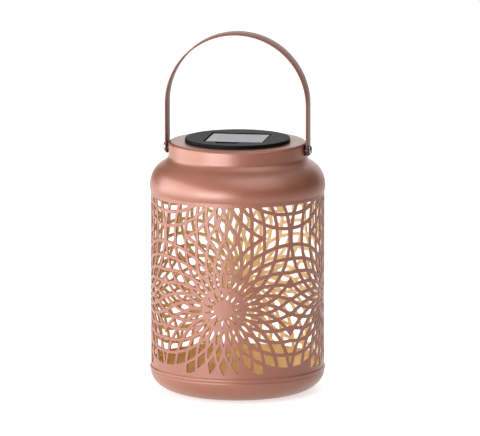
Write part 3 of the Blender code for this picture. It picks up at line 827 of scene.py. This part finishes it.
def sheet_points(runs, low_z, high_z):
    """Points and fixed edges of the flat sheet: its border, the holes' edges and a grid between."""
    length = 2 * math.pi * SCREEN_RADIUS
    columns, rows = 180, 10                     # points on the border's long and short sides
    pitch, clear = 2.6 * MM, 0.55               # grid, and its least distance in pitches
    along = [SEAM_AT + length * i / columns for i in range(columns + 1)]
    up = spread(low_z, high_z, rows)[1:-1]
    points = [Vector((x, low_z)) for x in along] + [Vector((along[-1], z)) for z in up]
    points += [Vector((x, high_z)) for x in reversed(along)]
    points += [Vector((along[0], z)) for z in reversed(up)]
    edges = [(i, (i + 1) % len(points)) for i in range(len(points))]
    for run, closed in runs:
        start = len(points)
        points += run
        edges += [(start + i, start + i + 1) for i in range(len(run) - 1)]
        if closed:
            edges.append((len(points) - 1, start))
    tree = KDTree(len(points))
    for i, p in enumerate(points):
        tree.insert((p.x, p.y, 0), i)
    tree.balance()
    for row in range(1, int((high_z - low_z) / pitch) + 1):
        for column in range(int(length / pitch)):
            x = SEAM_AT + (column + 0.5 + 0.5 * (row % 2)) * pitch
            z = low_z + row * pitch
            inside = x < along[-1] - MM and z < high_z - MM
            if inside and tree.find((x, z, 0))[2] > clear * pitch:
                points.append(Vector((x, z)))
    return points, edges


def metal_faces(flat, faces, walls):
    """Numbers of the triangles joined to the sheet's corner without crossing a hole's edge."""
    def edges_of(face):
        return [frozenset(pair) for pair in zip(face, face[1:] + face[:1])]

    by_edge = {}
    for number, face in enumerate(faces):
        for edge in edges_of(face):
            by_edge.setdefault(edge, []).append(number)
    corner = min(range(len(flat)), key=lambda i: flat[i].x + flat[i].y)
    waiting = [next(n for n, face in enumerate(faces) if corner in face)]
    metal = set(waiting)
    while waiting:
        for edge in edges_of(faces[waiting.pop()]):
            fresh = [] if edge in walls else [n for n in by_edge[edge] if n not in metal]
            metal.update(fresh)
            waiting += fresh
    return sorted(metal)


def pierced_screen():
    """The screen: triangulated flat, kept where it is metal, wrapped, thickened, edges softened."""
    low_z, high_z = SCREEN_LOW.z - TUCK, SCREEN_HIGH.z + TUCK
    points, edges = sheet_points(screen_outlines(), low_z, high_z)
    scaled = [p / MM for p in points]
    flat, flat_edges, faces, _, edge_sources, _ = delaunay_2d_cdt(scaled, edges, [], 0, 1e-4)
    walls = {frozenset(pair) for pair, source in zip(flat_edges, edge_sources) if source}
    bm = bmesh.new()
    ring = [bm.verts.new((p.x * MM, p.y * MM, 0.0)) for p in flat]
    for number in metal_faces(flat, faces, walls):
        bm.faces.new([ring[i] for i in faces[number]])
    bmesh.ops.delete(bm, geom=[v for v in bm.verts if not v.link_faces], context="VERTS")
    wrap_sheet(bm, low_z, high_z)
    finish_mesh("pierced_screen", bm, ("paint", "gold"), "lantern_body",
                ("lattice_screen",), 32.0)


def hole_steps(rim):
    """For each vertex on the sheet's edges, the flat direction into the metal."""
    normals = {}
    for edge in rim:
        a, b = (v.co for v in edge.verts)
        normal = Vector((b.y - a.y, a.x - b.x, 0.0)).normalized()
        if normal.dot(edge.link_faces[0].calc_center_median() - (a + b) / 2) < 0:
            normal = -normal
        for vertex in edge.verts:
            normals.setdefault(vertex, []).append(normal)
    return {vertex: sum(found, Vector()).normalized() for vertex, found in normals.items()}


def wrap_sheet(bm, low_z, high_z):
    """Give the flat sheet softened hole edges, an inner face and its round shape."""
    half_length = math.pi * SCREEN_RADIUS
    middle = SEAM_AT + half_length

    def on_seam(vertex):
        return abs(abs(vertex.co.x - middle) - half_length) < 1e-6

    def rolled(point, depth):
        return around(SCREEN_RADIUS - depth, point.x / SCREEN_RADIUS - math.pi / 2, point.y)

    rim = [edge for edge in bm.edges if edge.is_boundary]
    steps = hole_steps(rim)
    for vertex in steps:
        if on_seam(vertex) or not low_z + 1e-6 < vertex.co.y < high_z - 1e-6:
            steps[vertex] = Vector()
    flat_place = {v: v.co.copy() for v in bm.verts}
    faces = list(bm.faces)
    wall_top, wall_low = {}, {}
    for vertex, step in steps.items():
        if on_seam(vertex):
            continue
        place = flat_place[vertex]
        wall_top[vertex] = bm.verts.new(rolled(place, CUT_EDGE))
        wall_low[vertex] = bm.verts.new(rolled(place - step * BURR, SCREEN_SHEET))
    inner = {v: wall_low.get(v) or bm.verts.new(rolled(p, SCREEN_SHEET))
             for v, p in flat_place.items()}
    for face in faces:
        made = bm.faces.new([inner[v] for v in reversed(face.verts)])
        made.material_index = 1
    for edge in rim:
        a, b = edge.verts
        if on_seam(a) and on_seam(b):
            continue
        for vertex in (a, b):
            if vertex not in wall_top:
                wall_top[vertex] = bm.verts.new(rolled(flat_place[vertex], CUT_EDGE))
        bm.faces.new((a, b, wall_top[b], wall_top[a]))
        bm.faces.new((wall_top[a], wall_top[b], inner[b], inner[a]))
    for vertex, place in flat_place.items():
        vertex.co = rolled(place + steps.get(vertex, Vector()) * CUT_EDGE, 0.0)
    bmesh.ops.remove_doubles(bm, verts=bm.verts, dist=2e-6)


def screen_seam():
    """The lapped joint of the rolled sheet: a narrow flat strip up its left side."""
    half_angle = 3.4 * MM / SCREEN_RADIUS
    proud, proud_edge, sunk = 0.45 * MM, 0.2 * MM, 0.05 * MM
    slope = 0.2 * MM
    low_z, high_z = SCREEN_LOW.z + slope, SCREEN_HIGH.z - slope
    bm = bmesh.new()
    columns = []
    for share in spread(-1, 1, 8):
        angle = SEAM_AT / SCREEN_RADIUS - math.pi / 2 + half_angle * share
        lift = proud if abs(share) < 1 else proud_edge
        columns.append([bm.verts.new(around(SCREEN_RADIUS + out, angle, height))
                        for out, height in ((sunk, low_z), (lift, low_z + slope),
                                            (lift, high_z - slope), (sunk, high_z))])
    skin(bm, columns)
    finish_mesh("screen_seam", bm, ("paint",), "lantern_body", (), 25.0)


# ---------- handle and its pivots
def strap_stations():
    """Places along the right half of the strap: (centre, outward, half width, half thickness)."""
    mid, half_thick = STRAP_RADIUS - STRAP_SHEET / 2, STRAP_SHEET / 2
    sideways = Vector((1, 0, 0))
    stations = []
    for degrees in (4, 8, 12, 17, 23, 30, 38, 46, 55, 64, 73, 82, 90):
        angle = math.radians(degrees)
        depth = STRAP_HALF_WIDTH * (1 - math.cos(angle))
        inside = max(STRAP_EDGE - depth, 0.0)
        thin = STRAP_EDGE - math.sqrt(max(STRAP_EDGE ** 2 - inside ** 2, 0.0))
        centre = Vector((mid, 0, END_CENTRE_Z - STRAP_HALF_WIDTH * math.cos(angle)))
        stations.append((centre, sideways, STRAP_HALF_WIDTH * math.sin(angle),
                         half_thick - thin * 0.9))
    full = [(Vector((mid, 0, z)), sideways) for z in spread(END_CENTRE_Z, ARCH_Z, 7)[1:-1]]
    for angle in spread(0, math.pi / 2, 36):
        outward = Vector((math.cos(angle), 0, math.sin(angle)))
        full.append((Vector((0, 0, ARCH_Z)) + outward * mid, outward))
    return stations + [(*place, STRAP_HALF_WIDTH, half_thick) for place in full]


def strap_section(half_width, half_thick):
    """A flat section with rounded edges, as (across, outward) points around it."""
    edge = min(STRAP_EDGE, half_thick * 0.6, half_width * 0.45)
    return rounded_rectangle(half_width, half_thick, edge, edge, 3)


def handle_strap():
    """The strap: its right half's sections, then the same ones mirrored."""
    right = strap_stations()
    left = [(Vector((-c.x, 0, c.z)), Vector((-n.x, 0, n.z)), w, t)
            for c, n, w, t in reversed(right[:-1])]
    bm = bmesh.new()
    rings = []
    for centre, outward, half_width, half_thick in right + left:
        rings.append([bm.verts.new(centre + Vector((0, across, 0)) + outward * out)
                      for across, out in strap_section(half_width, half_thick)])
    skin(bm, rings)
    finish_mesh("strap_handle", bm, ("handle",), "handle",
                ("handle_strap",))


def pivots():
    """Domed rivets, spacers and inner washers, all turned about the handle's pivot line."""
    shank, tail_radius = 2.0 * MM, 3.4 * MM
    soft, bore = 0.12 * MM, 2.3 * MM
    head_base = STRAP_RADIUS + GAP
    for side, label in ((-1, "left"), (1, "right")):
        low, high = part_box(f"handle_rivet_{label}")
        tail, tip = (low.x, high.x) if side == 1 else (-high.x, -low.x)
        head_radius = high.y
        rise, tail_top = tip - head_base, tail + 1.2 * MM
        outline = soften([(0.0, tail, 0), (tail_radius - 0.3 * MM, tail, 0.4 * MM),
                          (tail_radius, tail_top, 0)])
        outline += [(shank, tail_top), (shank, head_base),
                    (head_radius - 0.15 * MM, head_base)]
        dome = ellipse_arc((0, head_base + 0.35 * MM), (head_radius, rise - 0.35 * MM), 0, 90, 12)
        outline += dome[:-1] + [(0.0, tip)]
        finish_mesh(f"domed_rivet_{label}", turned(outline, 64, along_x(side)), ("steel",),
                    "lantern_body", (f"handle_rivet_{label}",))
        for kind in ("pivot_spacer", "inner_washer"):
            low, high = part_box(f"{kind}_{label}")
            inside, outside = sorted((abs(low.x), abs(high.x)))
            loop = soften([(bore, inside, 0), (high.y, inside, soft), (high.y, outside, soft),
                           (bore, outside, 0)], 2)
            finish_mesh(f"{kind}_{label}_turned", turned(loop, 48, along_x(side)), ("steel",),
                        "lantern_body", (f"{kind}_{label}",))


# ---------- solar lid
def lid_cover():
    """Black disc with a pocket for the panel, a finger recess and a push-in skirt."""
    skirt_low = HOUSING_HIGH.z + GAP
    skirt, wall = PLUG_RADIUS, 1.6 * MM
    plate_low = PANEL_LOW.z - GAP - wall
    outline = soften([(0.0, plate_low, 0), (skirt - wall, plate_low, 0.5 * MM),
                      (skirt - wall, skirt_low, 0.15 * MM), (skirt, skirt_low, 0.3 * MM),
                      (skirt, RIM_Z + GAP, 0.2 * MM), (LID_RADIUS, RIM_Z + GAP, 0.25 * MM),
                      (LID_RADIUS, LID_TOP_Z, 0.40 * MM), (0.0, LID_TOP_Z, 0)], 5)
    piece = finish_mesh("lid_disc", turned(outline), ("black",), "lid",
                        ("lid_cover",), 30.0)
    above = LID_TOP_Z + 2 * MM
    pocket = rounded_plate(PANEL_HIGH.x - PANEL_LOW.x + 2 * GAP,
                           PANEL_HIGH.y - PANEL_LOW.y + 2 * GAP,
                           PANEL_LOW.z - GAP, above, 0.9 * MM, 0.05 * MM)
    notch_y = PANEL_LOW.y - GAP - 3.4 * MM
    notch = rounded_plate(18.6 * MM, 8.4 * MM, LID_TOP_Z - 1.7 * MM, above, 2.0 * MM, 0.3 * MM,
                          (-4.4 * MM, notch_y))
    lead_hole = peg((0, 8 * MM), plate_low, 2.4 * MM, 8 * MM)
    carve(piece, [pocket, notch, lead_hole])
    low, high = HOUSING_LOW.z + 1.9 * MM, plate_low + 0.8 * MM
    posts = [peg(place, (low + high) / 2, 3.0 * MM, high - low) for place in screw_places()]
    carve(piece, posts, "UNION")
    soft_edges(piece, 0.18 * MM)


def screw_places():
    return [box_middle(f"housing_screw_{number}") for number in (1, 2, 3)]


def lid_seal():
    """Rubber ring around the lid's plug, flat inside and round outside."""
    low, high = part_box("lid_seal")
    inner, outer = PLUG_RADIUS + GAP, high.x
    height = (high.z - low.z) / 2
    middle = (inner + outer) / 2
    outline = [(inner, low.z)]
    outline += ellipse_arc((middle, low.z + height), (outer - middle, height), -90, 90, 10)
    outline += [(inner, high.z)]
    finish_mesh("seal_ring", turned(outline, 144), ("rubber",), "lid",
                ("lid_seal",))


def solar_panel():
    """Dark laminate and the resin-covered cells in the lid's pocket."""
    finish_mesh("panel_laminate", filled_box("panel_backing", 0.6 * MM, 0.08 * MM), ("panel",),
                "lid", ("panel_backing",), 35.0)
    finish_mesh("solar_cells", filled_box("solar_cell", 0.5 * MM, 0.1 * MM), ("cell",),
                "lid", ("solar_cell",), 35.0)


def lower_housing():
    """Black cup under the lid, with its openings for the door, switch, lamp and screws."""
    low_z, high_z = HOUSING_LOW.z, HOUSING_HIGH.z
    top, wall, floor_z = PLUG_RADIUS, 1.6 * MM, HOUSING_LOW.z + 1.6 * MM
    foot = top - 1.2 * MM
    outline = soften([(0.0, low_z, 0), (foot, low_z, 2.4 * MM), (top, high_z, 0.2 * MM),
                      (top - wall, high_z, 0.2 * MM), (foot - wall, floor_z, 0.6 * MM),
                      (0.0, floor_z, 0)], 6)
    piece = finish_mesh("lid_housing", turned(outline), ("black",), "lid",
                        ("lower_housing",), 30.0)
    door_low, door_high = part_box("battery_door")
    knob_x, knob_y = box_middle("switch_knob")
    under, over = low_z - 2 * MM, low_z + 4 * MM
    bay = rounded_plate(door_high.x - door_low.x + 2 * GAP, door_high.y - door_low.y + 2 * GAP,
                        under, over, 1.2 * MM, 0.05 * MM, (0.0, box_middle("battery_door")[1]))
    slot = rounded_plate(6.6 * MM, 3.0 * MM, under, over, 0.5 * MM, 0.05 * MM,
                         (knob_x + 1.5 * MM, knob_y))
    holes = [((0.0, box_middle("led_lamp")[1]), 3.0 * MM)]
    holes += [(place, 1.45 * MM) for place in screw_places()]
    carve(piece, [bay, slot] + [peg(place, low_z, radius, 8 * MM) for place, radius in holes])
    soft_edges(piece, 0.15 * MM)


def housing_screws():
    """Pan-head screws with a cross recess."""
    head, shank = 2.6 * MM, 1.1 * MM
    head_top = HOUSING_LOW.z - GAP
    dome_z = head_top - 0.5 * MM
    recess = Matrix.Diagonal((2.6 * MM, 0.5 * MM, 1.6 * MM, 1.0))
    for number, (x, y) in enumerate(screw_places(), 1):
        low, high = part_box(f"housing_screw_{number}")
        outline = [(0.0, low.z)]
        outline += ellipse_arc((0, dome_z), (head, dome_z - low.z), -88, 0, 8)
        outline += [(head, head_top), (shank, head_top), (shank, high.z), (0.0, high.z)]
        place = Matrix.Translation((x, y, 0))
        piece = finish_mesh(f"housing_screw_{number}_pan", turned(outline, 48, place),
                            ("steel",), "lid", (f"housing_screw_{number}",))
        slots = []
        for turn in (0, math.pi / 2):
            slot = bmesh.new()
            spin = Matrix.Rotation(turn + 0.4 * number, 4, "Z")
            place = Matrix.Translation((x, y, low.z)) @ spin @ recess
            bmesh.ops.create_cube(slot, size=1.0, matrix=place)
            slots.append(slot)
        carve(piece, slots)


def carried_over():
    """Better finishes, and soft edges, for the CAD nodes that stay."""
    for name, look in KEPT_NODES.items():
        node = frame["nodes"][name]
        node.data.materials.clear()
        node.data.materials.append(LOOKS[look])
        weld = node.modifiers.new("weld", "WELD")
        weld.merge_threshold = 0.005 * MM
        if name in ("battery_door", "switch_knob", "led_collar", "battery_tray"):
            bevel(node, 0.15 * MM)


# ---------- stage
def direction(azimuth, elevation):
    """The unit vector towards that azimuth and elevation; azimuth 0 is -Y, positive turns to +X."""
    a, e = math.radians(azimuth), math.radians(elevation)
    return Vector((math.sin(a) * math.cos(e), -math.cos(a) * math.cos(e), math.sin(e)))


def look_from(made, place, back):
    """Put a camera or light somewhere, looking against the direction back."""
    made.location = place
    made.rotation_mode = "QUATERNION"
    made.rotation_quaternion = back.to_track_quat("Z", "Y")


def camera():
    made = new_object("camera", bpy.data.cameras.new("camera"))
    back = direction(CAMERA_AZIMUTH, CAMERA_ELEVATION)
    right = direction(CAMERA_AZIMUTH + 90, 0)
    look_from(made, AIM + right * AIM_RIGHT + back * CAMERA_DISTANCE, back)
    made.data.lens = CAMERA_LENS
    made.data.clip_start, made.data.clip_end = 0.5, 60.0
    bpy.context.scene.camera = made


def softbox(name, azimuth, elevation, distance, size, power):
    """An area light that faces the lantern's middle."""
    light = bpy.data.lights.new(name, "AREA")
    light.shape = "RECTANGLE"
    light.size, light.size_y = size
    light.energy = power
    towards = direction(azimuth, elevation)
    look_from(new_object(name, light), LIT_POINT + towards * distance, towards)


def floor():
    """Pale plane with a faint glow of its own, weaker towards +X."""
    bm = bmesh.new()
    bmesh.ops.create_grid(bm, x_segments=8, y_segments=8, size=14.0)
    made = new_object("floor", new_mesh("floor", bm))
    made.location.z = -0.2 * MM
    look, nodes, shader, _ = start_material(
        "floor_look", Base_Color=(0.50, 0.50, 0.50, 1.0), Roughness=0.9,
        Specular_IOR_Level=0.0, Emission_Color=(1.0, 1.0, 1.0, 1.0))
    glow = nodes.span(nodes.axes("Object")["X"], low=0.68, high=0.42, start=0.20, end=1.0,
                      curve="SMOOTHSTEP")
    nodes.link(glow, shader.inputs["Emission Strength"])
    made.data.materials.append(look)


def studio():
    """Soft surroundings that are brighter overhead and at the back, and the studio lights."""
    world = bpy.data.worlds.new("studio")
    world.use_nodes = True
    nodes = Nodes(world.node_tree)
    axes = nodes.axes("Generated")
    above = nodes.span(axes["Z"], low=0.0, high=0.82, start=0.2, end=0.9, curve="SMOOTHSTEP")
    behind = nodes.span(axes["Y"], low=0.0, high=1.45, start=0.80, end=0.97, curve="SMOOTHSTEP")
    sky = world.node_tree.nodes["Background"]
    sky.inputs["Color"].default_value = (1.0, 1.0, 1.0, 1.0)
    nodes.link(nodes.maths("ADD", nodes.maths("ADD", above, behind), 0.05),
               sky.inputs["Strength"])
    bpy.context.scene.world = world
    softbox("key_left", -76, 10, 1.5, (2.2, 1.0), 24.0)
    softbox("front_low", -22, 0, 1.7, (1.3, 0.8), 26.0)
    softbox("fill_high", 46, 52, 1.8, (1.8, 1.8), 13.0)
    view = bpy.context.scene.view_settings
    view.view_transform = "Standard"
    view.look = "None"
    view.gamma = 0.72


camera()
floor()
studio()
base_cap()
pierced_screen()
screen_seam()
shoulder()
handle_strap()
pivots()
lid_cover()
lid_seal()
solar_panel()
lower_housing()
housing_screws()
carried_over()
